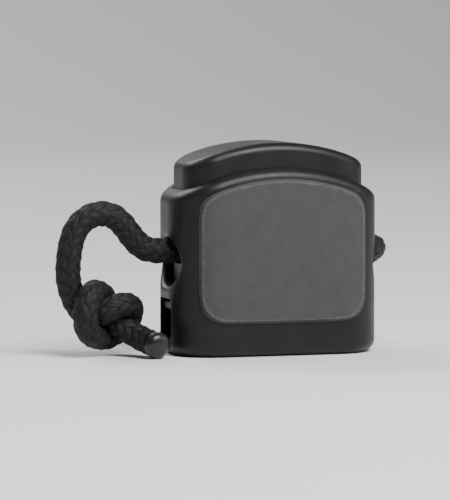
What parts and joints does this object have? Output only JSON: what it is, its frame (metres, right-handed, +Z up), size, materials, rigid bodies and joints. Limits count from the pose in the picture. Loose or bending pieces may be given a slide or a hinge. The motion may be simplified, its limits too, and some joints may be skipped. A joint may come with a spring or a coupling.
{
  "type": "cord lock",
  "caption": "Push-button cord lock gripping a short length of braided drawcord that ends in a stopper knot.",
  "frame": {"origin": "middle of the housing's flat base", "axes": "+X along the cord, from the side with the loop to the side with the tail; -Y out of the front face; +Z up, the way the button pops out"},
  "size_m": [0.0413, 0.0314, 0.0246],
  "materials": {
    "housing_plastic": "satin moulded acetal, black, with its face pads etched charcoal grey",
    "button_plastic": "fine matt moulded acetal, black",
    "spring_steel": "bright drawn wire",
    "braided_cord": "braided polyester sheath, black"
  },
  "bodies": {
    "housing": {"housing": "housing_plastic", "spring": "spring_steel", "cord_in_lock": "braided_cord", "cord_loop": "braided_cord", "stopper_knot": "braided_cord", "cord_tip": "braided_cord", "cord_tail": "braided_cord"},
    "button": {"push_button": "button_plastic"}
  },
  "joints": [
    {"name": "button_press", "type": "slide", "parent": "housing", "child": "button", "axis": [0, 0, -1], "range_m": [0, 0.0028], "stiffness_N_per_m": 1200, "springref_m": -0.004, "deforming": ["spring"]}
  ]
}
